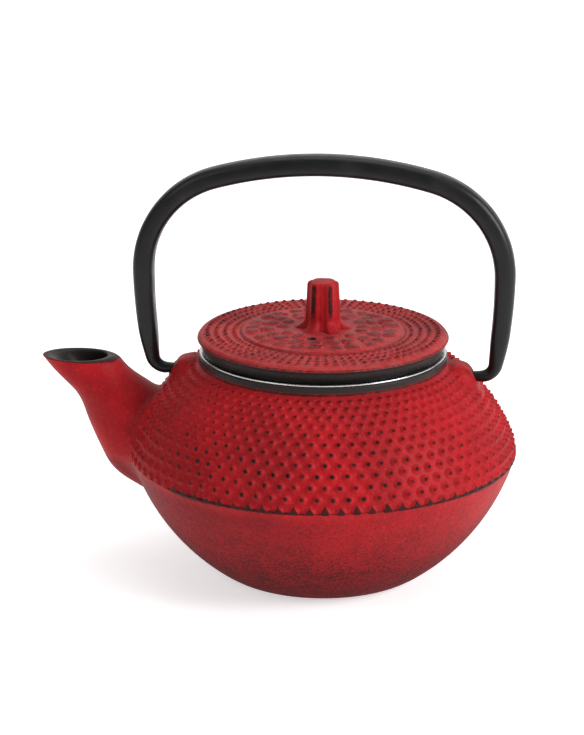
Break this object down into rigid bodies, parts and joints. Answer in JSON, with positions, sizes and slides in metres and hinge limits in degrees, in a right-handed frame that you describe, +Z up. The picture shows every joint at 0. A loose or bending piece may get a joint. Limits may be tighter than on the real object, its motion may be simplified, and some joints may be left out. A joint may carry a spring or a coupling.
{
  "type": "teapot",
  "caption": "Small cast iron teapot with hobnail shoulder, swinging bail handle, lift-off lid with ribbed knob, and a stainless steel infuser in the neck.",
  "frame": {"origin": "centre of the flat base, on the axis of the pot", "axes": "+Z up along the pot's axis, spout towards -X, bail turns about a line parallel to X"},
  "size_m": [0.1461, 0.1184, 0.1301],
  "materials": {
    "red_iron": "matt red enamel, rubbed back to dark iron on raised points, black enamel inside",
    "black_bail": "satin black",
    "stainless": "bright pressed sheet",
    "stainless_mesh": "fine woven mesh"
  },
  "bodies": {
    "pot": {"pot_body": "red_iron"},
    "bail": {"bail_handle": "black_bail"},
    "infuser": {"infuser_rim": "stainless", "infuser_wall": "stainless_mesh", "infuser_floor": "stainless_mesh", "infuser_foot_ring": "stainless"},
    "lid_and_knob": {"lid": "red_iron", "lid_knob": "red_iron"}
  },
  "joints": [
    {"name": "bail_swing", "type": "hinge", "parent": "pot", "child": "bail", "pos_m": [0, 0, 0.0624], "axis": [1, 0, 0], "range_deg": [-102, 102]},
    {"name": "infuser_lift", "type": "slide", "parent": "pot", "child": "infuser", "axis": [0, 0, 1], "range_m": [0, 0.03]},
    {"name": "lid_lift", "type": "slide", "parent": "infuser", "child": "lid_and_knob", "axis": [0, 0, 1], "range_m": [0, 0.03]}
  ]
}
